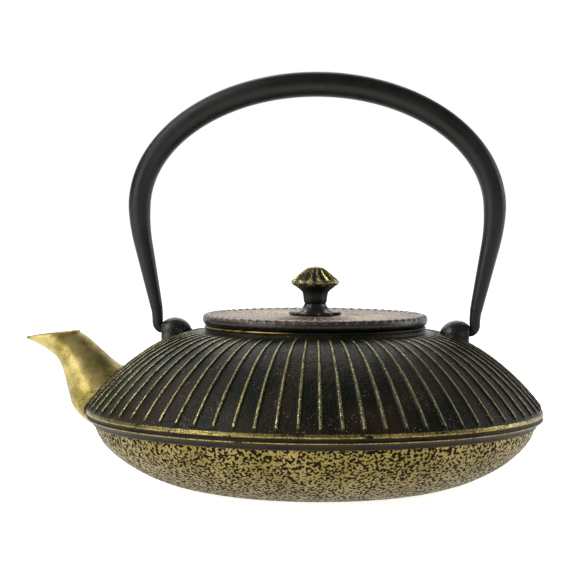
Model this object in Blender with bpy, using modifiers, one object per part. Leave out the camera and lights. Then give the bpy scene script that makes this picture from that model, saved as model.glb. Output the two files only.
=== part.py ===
"""A cast iron teapot with a lift-off lid, a lift-out infuser and a hinged bail handle.

Metres, +Z up. The origin is the middle of the flat base, the spout points along -X, and the
bail swings about an axis along X that runs through the two lugs beside the lid.
"""

import math

import bmesh
import bpy
from mathutils import Matrix, Vector

MM = 0.001

# Fits. Pieces that touch keep SEAT, and a part that slides or turns has its own clearance.
SEAT = 0.3 * MM
PIN_CLEARANCE = 0.3 * MM
TANG_CLEARANCE = 0.3 * MM
SCREW_CLEARANCE = 0.3 * MM
INFUSER_CLEARANCE = 0.5 * MM
THROAT_CLEARANCE = 2.0 * MM
SKIRT_CLEARANCE = 1.4 * MM
MESH_CLEARANCE = 0.3 * MM
OVERRUN = 5 * MM

# Vessel
RIM_RADIUS = 100.2 * MM
RIM_HEIGHT = 33.8 * MM
RIM_BAND = 6.4 * MM
RIM_ROUND = 1.6 * MM
NECK_RADIUS = 48.6 * MM
NECK_BASE = 67.9 * MM
NECK_TOP = 70.5 * MM
SHOULDER_ROUND = 1.85
SHOULDER_DROP = 1.05
BOWL_STEP = 3.8 * MM
FOOT_RADIUS = 46 * MM
BOWL_SIDE_ROUND = 1.8
BOWL_BASE_ROUND = 1.6
WALL = 3.5 * MM
THROAT_RADIUS = 39.5 * MM
LEDGE_WIDTH = 3.6 * MM
LEDGE_DEPTH = 3.9 * MM
SHOULDER_POINTS = 12
BOWL_POINTS = 10

# Spout. Each station is the front point, the back point and the half width of one section.
# Points are how far they lie outside the rim radius, and how far above the rim.
SPOUT_WALL = 2.4 * MM
SPOUT_STATIONS = (
    ((29.2 * MM, 30.3 * MM), (4.8 * MM, 33.4 * MM), 7.5 * MM),
    ((20.9 * MM, 25.7 * MM), (1.4 * MM, 30.6 * MM), 8.3 * MM),
    ((14.6 * MM, 20.6 * MM), (-2.4 * MM, 27.2 * MM), 9.5 * MM),
    ((11.8 * MM, 14.2 * MM), (-6.5 * MM, 23.6 * MM), 11.2 * MM),
    ((9.8 * MM, 6.7 * MM), (-11.6 * MM, 19.4 * MM), 13.2 * MM),
    ((7.2 * MM, -1.2 * MM), (-19.4 * MM, 15.0 * MM), 15.0 * MM),
    ((-0.3 * MM, -8.0 * MM), (-27.8 * MM, 10.4 * MM), 16.0 * MM),
    ((-12.2 * MM, -12.3 * MM), (-34.2 * MM, 5.2 * MM), 15.5 * MM),
)
PASSAGE_STATIONS = 6
PASSAGE_END = ((-7.2 * MM, -2.8 * MM), (-24.2 * MM, 10.2 * MM), 11.0 * MM)
SPOUT_BEAK = 0.35
SPOUT_SIDES = 24
SPOUT_RINGS_A_STATION = 2

# Lugs and the hinge of the bail
LUG_SPAN = 13.6 * MM
LUG_LENGTH = 8.2 * MM
LUG_HALF_WIDTH = 8.0 * MM
LUG_HEIGHT = 8.8 * MM
LUG_SINK = 0.5 * MM
LUG_FACE = 5.4 * MM
HINGE_RISE = 3.5 * MM

# Bail: a tapered tube with a hooked pin in each end
BAIL_CROWN = 176.3 * MM
BAIL_SPREAD = 8.2 * MM
BAIL_LEAN = math.radians(12)
HAUNCH_RADIUS = 76 * MM
KNEE_RADIUS = 30 * MM
CROWN_TUBE_RADIUS = 5.5 * MM
HAUNCH_TUBE_RADIUS = 4.85 * MM
END_TUBE_RADIUS = 2.65 * MM
TUBE_WALL = 0.9 * MM
TUBE_END_BEND = math.radians(9)
PIN_RADIUS = 2.15 * MM
PIN_UPRIGHT = 1.5 * MM
PIN_ELBOW = 2.8 * MM
PIN_REACH = 8.2 * MM
PIN_BORE_SPARE = 0.8 * MM
TANG_RADIUS = END_TUBE_RADIUS - TUBE_WALL - TANG_CLEARANCE
TANG_LENGTH = 15 * MM

# Lid
LID_OVERHANG = 0.9 * MM
LID_BEAD_RADIUS = 2.35 * MM
LID_THICKNESS = 4.0 * MM
SKIRT_WALL = 3.0 * MM
SKIRT_DEPTH = 9.8 * MM
LID_UNDERCUT = 0.4 * MM
VENT_RADIUS = 1.5 * MM
VENT_X = 26 * MM
VENT_Y = 17 * MM

# Knob, its seat and its screw
SEAT_PLATE_RADIUS = 11.7 * MM
SEAT_PLATE_EDGE = 1.0 * MM
SEAT_PLATE_HEIGHT = 5.0 * MM
SEAT_WAIST_RADIUS = 5.2 * MM
STEM_BOTTOM_RADIUS = 5.4 * MM
STEM_TOP_RADIUS = 6.1 * MM
STEM_CHAMFER = 0.5 * MM
STEM_HEIGHT = 4.9 * MM
CAP_RADIUS = 10.5 * MM
CAP_UNDER_HEIGHT = 4.0 * MM
CAP_HEIGHT = 7.4 * MM
CAP_TIP_RADIUS = 3.0 * MM
CAP_WAIST_SHARE = 0.9
FLUTES = 14
FLUTE_RADIUS = 1.6 * MM
FLUTE_LENGTH = 4.2 * MM
FLUTE_DEPTH = 0.85 * MM
FLUTE_MIDDLE = (0.72, 0.42)
CAP_SHOULDER = (0.95, 0.12)
CAP_UNDER = (0.94, -0.2)
STEM_SIDES = 8
SCREW_RADIUS = 1.5 * MM
SCREW_REACH = 7.0 * MM
SCREW_TIP_SPARE = 0.8 * MM
SCREW_HEAD_RADIUS = 3.2 * MM
SCREW_HEAD_HEIGHT = 2.0 * MM
WASHER_RADIUS = 5.0 * MM
WASHER_THICKNESS = 1.0 * MM

# Infuser
INFUSER_SHEET = 0.6 * MM
INFUSER_FLANGE = 0.8 * MM
COLLAR_DEPTH = 10.5 * MM
MESH_SHEET = 0.8 * MM
MESH_LAP = 3.2 * MM
BASKET_DEPTH = 47 * MM
HOOP_HEIGHT = 6.0 * MM
HOOP_LIP = 4.5 * MM

# Facets round a turned piece
BODY_STEPS = 60
LID_STEPS = 48
BASKET_STEPS = 40
SMALL_STEPS = 20
HOLE_STEPS = 16
VENT_STEPS = 12
ARCH_POINTS = 28
TUBE_RESOLUTION = 4

# Sizes that follow from those above
SEAT_Z = NECK_TOP + SEAT
LID_TOP = SEAT_Z + LID_THICKNESS
LEDGE_Z = NECK_TOP - LEDGE_DEPTH
LEDGE_RADIUS = THROAT_RADIUS + LEDGE_WIDTH
FLANGE_Z = LEDGE_Z + SEAT
COLLAR_RADIUS = THROAT_RADIUS - THROAT_CLEARANCE
COLLAR_BORE = COLLAR_RADIUS - INFUSER_SHEET
SKIRT_RADIUS = COLLAR_BORE - SKIRT_CLEARANCE
BASKET_RADIUS = COLLAR_BORE - MESH_CLEARANCE
COLLAR_BOTTOM = FLANGE_Z + INFUSER_FLANGE - COLLAR_DEPTH
BASKET_BOTTOM = FLANGE_Z - BASKET_DEPTH
LUG_X = NECK_RADIUS + LUG_SPAN
FACE_X = LUG_X + LUG_FACE
LEG_X = FACE_X + PIN_CLEARANCE + PIN_RADIUS
STEM_BOTTOM = LID_TOP + SEAT + SEAT_PLATE_HEIGHT + SEAT
SCREW_TIP = STEM_BOTTOM + SCREW_REACH


def make_collection(name):
    collection = bpy.data.collections.new(name)
    bpy.context.scene.collection.children.link(collection)
    return collection


def make_material(name, colour, roughness, metallic):
    material = bpy.data.materials.new(name)
    material.use_nodes = True
    shader = material.node_tree.nodes["Principled BSDF"]
    shader.inputs["Base Color"].default_value = (*colour, 1)
    shader.inputs["Roughness"].default_value = roughness
    shader.inputs["Metallic"].default_value = metallic
    return material


# Outlines, as lists of (radius, height)


def shoulder_z(radius):
    """Height of the vessel's outside between the neck and the rim."""
    across = (radius - NECK_RADIUS) / (RIM_RADIUS - NECK_RADIUS)
    drop = (1 - across**SHOULDER_ROUND) ** (1 / SHOULDER_DROP)
    return RIM_HEIGHT + (NECK_BASE - RIM_HEIGHT) * drop


def shoulder_outline():
    reach = RIM_RADIUS - NECK_RADIUS
    radii = [NECK_RADIUS + reach * i / SHOULDER_POINTS for i in range(SHOULDER_POINTS + 1)]
    return [(radius, shoulder_z(radius)) for radius in radii]


def bowl_outline():
    """The lower bowl, from under the rim band down to the foot."""
    top = RIM_HEIGHT - RIM_BAND
    reach = RIM_RADIUS - BOWL_STEP - FOOT_RADIUS
    points = []
    for i in range(BOWL_POINTS + 1):
        turn = i / BOWL_POINTS * math.pi / 2
        radius = FOOT_RADIUS + reach * max(math.cos(turn), 0) ** (2 / BOWL_SIDE_ROUND)
        points.append((radius, top * (1 - math.sin(turn) ** (2 / BOWL_BASE_ROUND))))
    return points


def rim_outline():
    """The rounded band between the shoulder and the bowl."""
    low = RIM_HEIGHT - RIM_BAND
    return [
        (RIM_RADIUS + RIM_ROUND / 8, RIM_HEIGHT - RIM_ROUND),
        (RIM_RADIUS, RIM_HEIGHT - 2 * RIM_ROUND),
        (RIM_RADIUS - RIM_ROUND, low + RIM_ROUND / 2),
    ]


def inset(outline, wall):
    """An outline that runs down the outside, moved inwards by the wall."""
    moved = []
    for i, (radius, height) in enumerate(outline):
        before = outline[max(i - 1, 0)]
        after = outline[min(i + 1, len(outline) - 1)]
        along = Vector((after[0] - before[0], after[1] - before[1])).normalized()
        moved.append((radius + wall * along.y, height - wall * along.x))
    return moved


def arc(centre, radius, first, last, points):
    """Points on an arc in a plane, with its angles in degrees."""
    turns = [math.radians(first + (last - first) * i / (points - 1)) for i in range(points)]
    return [(centre[0] + radius * math.cos(a), centre[1] + radius * math.sin(a)) for a in turns]


# Building blocks


def link(obj, collection):
    collection.objects.link(obj)
    return obj


def turned(name, profile, steps, collection):
    """A solid of revolution about Z. A profile off the axis closes on itself and makes a ring."""
    mesh = bpy.data.meshes.new(name)
    edges = [(i, i + 1) for i in range(len(profile) - 1)]
    if profile[0][0] > 0:
        edges.append((len(profile) - 1, 0))
    mesh.from_pydata([(radius, 0, height) for radius, height in profile], edges, [])
    obj = link(bpy.data.objects.new(name, mesh), collection)
    screw = obj.modifiers.new("Screw", "SCREW")
    screw.steps = steps
    screw.render_steps = steps
    screw.use_merge_vertices = True
    screw.merge_threshold = 0.000001
    return obj


def plug(name, radius, low, high, steps, collection):
    """A plain cylinder about Z, for cutting a hole."""
    return turned(name, [(0, high), (radius, high), (radius, low), (0, low)], steps, collection)


def ring(outer, inner, low, high):
    """The profile of a plain ring."""
    return [(outer, high), (outer, low), (inner, low), (inner, high)]


def from_bmesh(name, shape, collection):
    mesh = bpy.data.meshes.new(name)
    shape.to_mesh(mesh)
    shape.free()
    return link(bpy.data.objects.new(name, mesh), collection)


def ball(name, sizes, matrix, collection, segments=16, rings=10):
    shape = bmesh.new()
    bmesh.ops.create_uvsphere(
        shape,
        u_segments=segments,
        v_segments=rings,
        radius=1,
        matrix=matrix @ Matrix.Diagonal((*sizes, 1)),
    )
    return from_bmesh(name, shape, collection)


def rod_x(name, radius, start, end, height, collection, segments=24):
    """A cylinder along X."""
    shape = bmesh.new()
    middle = Matrix.Translation(((start + end) / 2, 0, height))
    bmesh.ops.create_cone(
        shape,
        cap_ends=True,
        segments=segments,
        radius1=radius,
        radius2=radius,
        depth=abs(end - start),
        matrix=middle @ Matrix.Rotation(math.pi / 2, 4, "Y"),
    )
    return from_bmesh(name, shape, collection)


def box(name, low, high, collection):
    shape = bmesh.new()
    size = [b - a for a, b in zip(low, high)]
    middle = [(a + b) / 2 for a, b in zip(low, high)]
    matrix = Matrix.Translation(middle) @ Matrix.Diagonal((*size, 1))
    bmesh.ops.create_cube(shape, size=1, matrix=matrix)
    return from_bmesh(name, shape, collection)


def loft(name, rings, collection):
    """A closed solid through rings of as many points each."""
    shape = bmesh.new()
    rows = [[shape.verts.new(point) for point in points] for points in rings]
    count = len(rows[0])
    for near, far in zip(rows[:-1], rows[1:]):
        for i in range(count):
            j = (i + 1) % count
            shape.faces.new((near[i], near[j], far[j], far[i]))
    shape.faces.new(rows[0][::-1])
    shape.faces.new(rows[-1])
    bmesh.ops.recalc_face_normals(shape, faces=shape.faces)
    return from_bmesh(name, shape, collection)


def swept(name, points, radii, collection, resolution=3):
    """A tube along points, each with its own radius, as a mesh with welded caps."""
    curve = bpy.data.curves.new(name, "CURVE")
    curve.dimensions = "3D"
    curve.bevel_depth = 1
    curve.bevel_resolution = resolution
    curve.use_fill_caps = True
    spline = curve.splines.new("POLY")
    spline.points.add(len(points) - 1)
    for place, point, radius in zip(spline.points, points, radii):
        place.co = (*point, 1)
        place.radius = radius
    guide = link(bpy.data.objects.new(name, curve), collection)
    bpy.context.view_layer.update()
    graph = bpy.context.evaluated_depsgraph_get()
    mesh = bpy.data.meshes.new_from_object(guide.evaluated_get(graph))
    shape = bmesh.new()
    shape.from_mesh(mesh)
    bmesh.ops.remove_doubles(shape, verts=shape.verts, dist=0.000001)
    bmesh.ops.recalc_face_normals(shape, faces=shape.faces)
    shape.to_mesh(mesh)
    shape.free()
    obj = link(bpy.data.objects.new(name, mesh), collection)
    obj.matrix_world = guide.matrix_world
    bpy.data.objects.remove(guide)
    bpy.data.curves.remove(curve)
    obj.name = name
    return obj


def combine(obj, tool, operation):
    """A Boolean with a tool that stays in the file as a hidden wire shape."""
    tool.hide_render = True
    tool.display_type = "WIRE"
    boolean = obj.modifiers.new(tool.name, "BOOLEAN")
    boolean.operation = operation
    boolean.solver = "EXACT"
    boolean.object = tool


def settle(obj, material, sharp=35):
    """Fixes the modifiers into the mesh, then shades it smooth except at its sharp edges."""
    bpy.context.view_layer.update()
    graph = bpy.context.evaluated_depsgraph_get()
    mesh = bpy.data.meshes.new_from_object(obj.evaluated_get(graph))
    mesh.name = obj.name
    obj.modifiers.clear()
    obj.data = mesh
    mesh.materials.clear()
    mesh.materials.append(material)
    mesh.shade_smooth()
    mesh.set_sharp_from_angle(angle=math.radians(sharp))
    return obj


def hang_on(empty, pieces):
    """Parents pieces to an empty without moving them."""
    for piece in pieces:
        piece.parent = empty
        piece.matrix_parent_inverse = Matrix.Translation(-empty.location)


def axis_empty(name, height, collection):
    empty = link(bpy.data.objects.new(name, None), collection)
    empty.location = (0, 0, height)
    return empty


# Vessel


def spline_value(values, place):
    """Catmull-Rom through evenly spaced values, at a place between 0 and the last index."""
    last = len(values) - 1
    i = min(int(place), last - 1)
    t = place - i
    p0, p1, p2, p3 = (values[min(max(k, 0), last)] for k in (i - 1, i, i + 1, i + 2))
    bend = (2 * p0 - 5 * p1 + 4 * p2 - p3) * t * t + (3 * p1 - p0 - 3 * p2 + p3) * t**3
    return 0.5 * (2 * p1 + (p2 - p0) * t + bend)


def spout_section(front, back, half_width, beak):
    """One section of the spout: an ellipse whose front end is drawn in to a beak."""
    points = []
    for i in range(SPOUT_SIDES):
        turn = 2 * math.pi * i / SPOUT_SIDES
        forward = (1 + math.cos(turn)) / 2
        middle = front * forward + back * (1 - forward)
        width = half_width * math.sin(turn) * (1 - beak * forward**2)
        points.append((middle.x, width, middle.y))
    return points


def spout_point(offsets):
    return Vector((-RIM_RADIUS - offsets[0], RIM_HEIGHT + offsets[1]))


def spout_rings(wall, stations):
    """Rings through the stations, drawn in by a wall. The beak fades out towards the body."""
    fronts = []
    backs = []
    widths = []
    for front, back, half_width in stations:
        start = spout_point(front)
        end = spout_point(back)
        inward = (end - start).normalized() * wall
        fronts.append(start + inward)
        backs.append(end - inward)
        widths.append(half_width - wall)
    count = (len(stations) - 1) * SPOUT_RINGS_A_STATION
    rings = []
    for i in range(count + 1):
        place = i / SPOUT_RINGS_A_STATION
        front = spline_value(fronts, place)
        back = spline_value(backs, place)
        beak = SPOUT_BEAK * max(0, 1 - place / 2)
        rings.append(spout_section(front, back, spline_value(widths, place), beak))
    return rings


def make_spout(collection):
    return loft("spout_outside", spout_rings(0, SPOUT_STATIONS), collection)


def make_spout_passage(collection):
    """The way through the spout, from inside the vessel to past the mouth."""
    rings = spout_rings(SPOUT_WALL, SPOUT_STATIONS[:PASSAGE_STATIONS])
    front, back, half_width = PASSAGE_END
    rings.append(spout_section(spout_point(front), spout_point(back), half_width, 0))
    mouth = [(x, y, z + OVERRUN) for x, y, z in rings[0]]
    return loft("spout_passage", [mouth, *rings], collection)


def make_lug(side, cutters):
    """A half dome beside the lid, flat on its outer face, where the hinge pin goes in."""
    name = "lug_" + ("right" if side > 0 else "left")
    centre = Matrix.Translation((side * LUG_X, 0, shoulder_z(LUG_X) - LUG_SINK))
    lug = ball(name, (LUG_LENGTH, LUG_HALF_WIDTH, LUG_HEIGHT), centre, cutters)
    reach = sorted((side * FACE_X, side * (FACE_X + LUG_LENGTH)))
    low = (reach[0], -2 * LUG_HALF_WIDTH, 0)
    high = (reach[1], 2 * LUG_HALF_WIDTH, NECK_TOP + LUG_HEIGHT)
    combine(lug, box(name + "_face", low, high, cutters), "DIFFERENCE")
    return lug


def hinge_z():
    return shoulder_z(LUG_X) - LUG_SINK + HINGE_RISE


def make_cavity(collection):
    """The space inside the vessel, with the ledge that the infuser hangs on."""
    inner_shoulder = inset(shoulder_outline(), WALL)
    profile = [
        (0, NECK_TOP + OVERRUN),
        (LEDGE_RADIUS, NECK_TOP + OVERRUN),
        (LEDGE_RADIUS, LEDGE_Z),
        (THROAT_RADIUS, LEDGE_Z),
        (THROAT_RADIUS, inner_shoulder[0][1]),
        *inner_shoulder,
        *inset(bowl_outline(), WALL),
        (0, WALL),
    ]
    return turned("vessel_cavity", profile, BODY_STEPS, collection)


def make_vessel(parts, cutters, material):
    profile = [
        (0, NECK_TOP),
        (NECK_RADIUS, NECK_TOP),
        *shoulder_outline(),
        *rim_outline(),
        *bowl_outline(),
        (0, 0),
    ]
    vessel = turned("vessel_body", profile, BODY_STEPS, parts)
    combine(vessel, make_spout(cutters), "UNION")
    for side in (-1, 1):
        combine(vessel, make_lug(side, cutters), "UNION")
    combine(vessel, make_cavity(cutters), "DIFFERENCE")
    combine(vessel, make_spout_passage(cutters), "DIFFERENCE")
    bore_radius = PIN_RADIUS + PIN_CLEARANCE
    for side in (-1, 1):
        start = side * (FACE_X - PIN_REACH - PIN_BORE_SPARE)
        end = side * (FACE_X + OVERRUN)
        name = "pin_bore_" + ("right" if side > 0 else "left")
        bore = rod_x(name, bore_radius, start, end, hinge_z(), cutters)
        combine(vessel, bore, "DIFFERENCE")
    return settle(vessel, material)


# Lid, knob and their fastening


def make_lid(parts, cutters, material):
    edge = NECK_RADIUS + LID_OVERHANG
    bead_middle = (edge - LID_BEAD_RADIUS, SEAT_Z + LID_BEAD_RADIUS)
    profile = [
        (0, LID_TOP),
        (edge - 2 * LID_BEAD_RADIUS, LID_TOP),
        *arc(bead_middle, LID_BEAD_RADIUS, 110, -90, 8),
        (SKIRT_RADIUS, SEAT_Z),
        (SKIRT_RADIUS, SEAT_Z - SKIRT_DEPTH),
        (SKIRT_RADIUS - SKIRT_WALL, SEAT_Z - SKIRT_DEPTH),
        (SKIRT_RADIUS - SKIRT_WALL, SEAT_Z + LID_UNDERCUT),
        (0, SEAT_Z + LID_UNDERCUT),
    ]
    lid = turned("lid", profile, LID_STEPS, parts)
    low = SEAT_Z - OVERRUN
    high = LID_TOP + OVERRUN
    vent = plug("lid_vent", VENT_RADIUS, low, high, VENT_STEPS, cutters)
    vent.location = (VENT_X, VENT_Y, 0)
    combine(lid, vent, "DIFFERENCE")
    bore = SCREW_RADIUS + SCREW_CLEARANCE
    combine(lid, plug("lid_screw_hole", bore, low, high, HOLE_STEPS, cutters), "DIFFERENCE")
    return settle(lid, material)


def make_knob_seat(parts, material):
    """The eight-sided flared plate between the lid and the knob."""
    low = LID_TOP + SEAT
    high = low + SEAT_PLATE_HEIGHT
    bore = SCREW_RADIUS + SCREW_CLEARANCE
    rise = SEAT_PLATE_HEIGHT - SEAT_PLATE_EDGE
    reach = SEAT_PLATE_RADIUS - SEAT_WAIST_RADIUS
    flare = []
    for i in range(6):
        turn = math.pi / 2 * i / 5
        radius = SEAT_PLATE_RADIUS - reach * math.cos(turn)
        flare.append((radius, low + SEAT_PLATE_EDGE + rise * (1 - math.sin(turn))))
    profile = [*flare, (SEAT_PLATE_RADIUS, low), (bore, low), (bore, high)]
    return settle(turned("knob_seat", profile, STEM_SIDES, parts), material)


def make_knob(parts, cutters, material):
    """A fluted cone cap on an eight-sided stem."""
    stem_top = STEM_BOTTOM + STEM_HEIGHT
    edge = stem_top + CAP_UNDER_HEIGHT
    tip = edge + CAP_HEIGHT
    cap_profile = [
        (0, tip),
        *arc((0, tip - CAP_TIP_RADIUS), CAP_TIP_RADIUS, 72, 42, 3),
        (CAP_RADIUS * FLUTE_MIDDLE[0], edge + CAP_HEIGHT * FLUTE_MIDDLE[1]),
        (CAP_RADIUS * CAP_SHOULDER[0], edge + CAP_HEIGHT * CAP_SHOULDER[1]),
        (CAP_RADIUS, edge),
        (CAP_RADIUS * CAP_UNDER[0], edge + CAP_UNDER_HEIGHT * CAP_UNDER[1]),
        (STEM_TOP_RADIUS * CAP_WAIST_SHARE, stem_top - STEM_CHAMFER),
        (0, stem_top - STEM_CHAMFER),
    ]
    knob = turned("lid_knob", cap_profile, 2 * FLUTES, parts)
    stem_profile = [
        (0, stem_top + CAP_UNDER_HEIGHT / 2),
        (STEM_TOP_RADIUS, stem_top),
        (STEM_BOTTOM_RADIUS, STEM_BOTTOM + STEM_CHAMFER),
        (STEM_BOTTOM_RADIUS - STEM_CHAMFER, STEM_BOTTOM),
        (0, STEM_BOTTOM),
    ]
    combine(knob, turned("knob_stem", stem_profile, STEM_SIDES, cutters), "UNION")
    slope = math.atan2(CAP_HEIGHT, CAP_RADIUS)
    across, up = FLUTE_MIDDLE
    for i in range(FLUTES):
        turn = Matrix.Rotation(2 * math.pi * (i + 0.5) / FLUTES, 4, "Z")
        place = Matrix.Translation((CAP_RADIUS * across, 0, edge + CAP_HEIGHT * up))
        lean = Matrix.Rotation(slope, 4, "Y")
        lift = Matrix.Translation((0, 0, FLUTE_RADIUS - FLUTE_DEPTH))
        sizes = (FLUTE_LENGTH, FLUTE_RADIUS, FLUTE_RADIUS)
        flute = ball(f"flute_{i}", sizes, turn @ place @ lean @ lift, cutters, 8, 6)
        combine(knob, flute, "DIFFERENCE")
    bore = SCREW_RADIUS + SCREW_CLEARANCE
    low = STEM_BOTTOM - OVERRUN
    high = SCREW_TIP + SCREW_TIP_SPARE
    combine(knob, plug("knob_bore", bore, low, high, HOLE_STEPS, cutters), "DIFFERENCE")
    return settle(knob, material, 25)


def make_knob_washer(parts, material):
    high = SEAT_Z + LID_UNDERCUT - SEAT
    low = high - WASHER_THICKNESS
    bore = SCREW_RADIUS + SCREW_CLEARANCE
    washer = turned("knob_washer", ring(WASHER_RADIUS, bore, low, high), SMALL_STEPS, parts)
    return settle(washer, material)


def make_knob_screw(parts, material):
    head_top = SEAT_Z + LID_UNDERCUT - SEAT - WASHER_THICKNESS - SEAT
    low = head_top - SCREW_HEAD_HEIGHT
    profile = [
        (0, SCREW_TIP),
        (SCREW_RADIUS, SCREW_TIP),
        (SCREW_RADIUS, head_top),
        (SCREW_HEAD_RADIUS, head_top),
        (SCREW_HEAD_RADIUS, low + SCREW_HEAD_HEIGHT / 2),
        (SCREW_HEAD_RADIUS * 0.7, low),
        (0, low),
    ]
    return settle(turned("knob_screw", profile, SMALL_STEPS, parts), material)


# Infuser


def make_infuser_rim(parts, material):
    """The flange that hangs on the vessel's ledge, with the collar that takes the lid's skirt."""
    high = FLANGE_Z + INFUSER_FLANGE
    outer = LEDGE_RADIUS - INFUSER_CLEARANCE
    profile = [
        (outer, high),
        (outer, FLANGE_Z),
        (COLLAR_RADIUS, FLANGE_Z),
        (COLLAR_RADIUS, COLLAR_BOTTOM),
        (COLLAR_BORE, COLLAR_BOTTOM),
        (COLLAR_BORE, high),
    ]
    return settle(turned("infuser_rim", profile, BASKET_STEPS, parts), material)


def make_infuser_hoop(parts, material):
    """The cup ring that holds the basket's wall and base together."""
    profile = [
        (COLLAR_RADIUS, BASKET_BOTTOM + HOOP_HEIGHT),
        (COLLAR_RADIUS, BASKET_BOTTOM),
        (COLLAR_RADIUS - HOOP_LIP, BASKET_BOTTOM),
        (COLLAR_RADIUS - HOOP_LIP, BASKET_BOTTOM + INFUSER_SHEET),
        (COLLAR_BORE, BASKET_BOTTOM + INFUSER_SHEET),
        (COLLAR_BORE, BASKET_BOTTOM + HOOP_HEIGHT),
    ]
    return settle(turned("infuser_hoop", profile, BASKET_STEPS, parts), material)


def make_infuser_base(parts, material):
    low = BASKET_BOTTOM + INFUSER_SHEET + SEAT
    high = low + MESH_SHEET
    profile = [(0, high), (BASKET_RADIUS, high), (BASKET_RADIUS, low), (0, low)]
    return settle(turned("infuser_base", profile, BASKET_STEPS, parts), material)


def make_infuser_wall(parts, material):
    low = BASKET_BOTTOM + INFUSER_SHEET + SEAT + MESH_SHEET + SEAT
    high = COLLAR_BOTTOM + MESH_LAP
    profile = ring(BASKET_RADIUS, BASKET_RADIUS - MESH_SHEET, low, high)
    return settle(turned("infuser_wall", profile, BASKET_STEPS, parts), material)


# Bail


def knee_arc(first, last, points):
    """Part of the bend where the bail leans out over its upright pins."""
    middle = (LEG_X + KNEE_RADIUS, hinge_z() + PIN_ELBOW + PIN_UPRIGHT)
    return arc(middle, KNEE_RADIUS, 180 - math.degrees(first), 180 - math.degrees(last), points)


def bail_leg():
    """The tube's centre line on one side in the XZ plane, from its end up to the haunch."""
    lean = math.degrees(BAIL_LEAN)
    knee = knee_arc(TUBE_END_BEND, BAIL_LEAN, 3)
    bend = (KNEE_RADIUS + HAUNCH_RADIUS) * (1 - math.cos(BAIL_LEAN))
    straight = (BAIL_SPREAD - bend) / math.sin(BAIL_LEAN)
    start = Vector(knee[-1])
    along = Vector((math.sin(BAIL_LEAN), math.cos(BAIL_LEAN)))
    line = [tuple(start + along * straight * i / 5) for i in range(1, 5)]
    top = start + along * straight
    middle = top + Vector((-math.cos(BAIL_LEAN), math.sin(BAIL_LEAN))) * HAUNCH_RADIUS
    haunch = arc(middle, HAUNCH_RADIUS, -lean, 0, 4)
    return [*knee, *line, *haunch]


def bail_arch(haunch, points):
    """The crown: half an ellipse between the two haunches, from +X to -X."""
    rise = BAIL_CROWN - haunch[1]
    turns = [math.pi * i / points for i in range(1, points)]
    return [(haunch[0] * math.cos(a), haunch[1] + rise * math.sin(a)) for a in turns]


def bail_line():
    """The centre line from end to end, with the tube's radius at each point."""
    leg = bail_leg()
    arch = bail_arch(leg[-1], ARCH_POINTS)
    radii = []
    low = leg[0][1]
    for _, height in leg:
        part = (height - low) / (leg[-1][1] - low)
        radii.append(END_TUBE_RADIUS + (HAUNCH_TUBE_RADIUS - END_TUBE_RADIUS) * part)
    arch_radii = []
    for i in range(1, ARCH_POINTS):
        part = math.sin(math.pi * i / ARCH_POINTS)
        arch_radii.append(HAUNCH_TUBE_RADIUS + (CROWN_TUBE_RADIUS - HAUNCH_TUBE_RADIUS) * part)
    line = leg + arch + [(-x, z) for x, z in leg[::-1]]
    return [(x, 0, z) for x, z in line], radii + arch_radii + radii[::-1]


def lengthened(points, by):
    """A line with its two ends moved out by a length."""
    first = Vector(points[0])
    last = Vector(points[-1])
    before = first + (first - Vector(points[1])).normalized() * by
    after = last + (last - Vector(points[-2])).normalized() * by
    return [tuple(before), *points[1:-1], tuple(after)]


def make_handle_tube(parts, cutters, material):
    points, radii = bail_line()
    tube = swept("handle_tube", points, radii, parts, TUBE_RESOLUTION)
    bores = [radius - TUBE_WALL for radius in radii]
    bore = swept("handle_bore", lengthened(points, OVERRUN), bores, cutters)
    combine(tube, bore, "DIFFERENCE")
    return settle(tube, material)


def make_handle_pin(side, parts, cutters, material):
    """A hooked pin: one leg turns in the lug, and the tang sits in the end of the tube."""
    name = "handle_pin_" + ("right" if side > 0 else "left")
    axis = hinge_z()
    elbow = arc((LEG_X - PIN_ELBOW, axis + PIN_ELBOW), PIN_ELBOW, 270, 360, 7)
    knee = knee_arc(0, TUBE_END_BEND - SEAT / KNEE_RADIUS, 4)
    line = [(FACE_X - PIN_REACH, axis), *elbow, *knee]
    points = [(side * x, 0, z) for x, z in line]
    pin = swept(name, points, [PIN_RADIUS] * len(points), parts)
    leg = bail_leg()
    tang_line = [knee[-2]] + [point for point in leg if point[1] < leg[0][1] + TANG_LENGTH]
    tang_points = [(side * x, 0, z) for x, z in tang_line]
    tang = swept(name + "_tang", tang_points, [TANG_RADIUS] * len(tang_points), cutters)
    combine(pin, tang, "UNION")
    return settle(pin, material)


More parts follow.
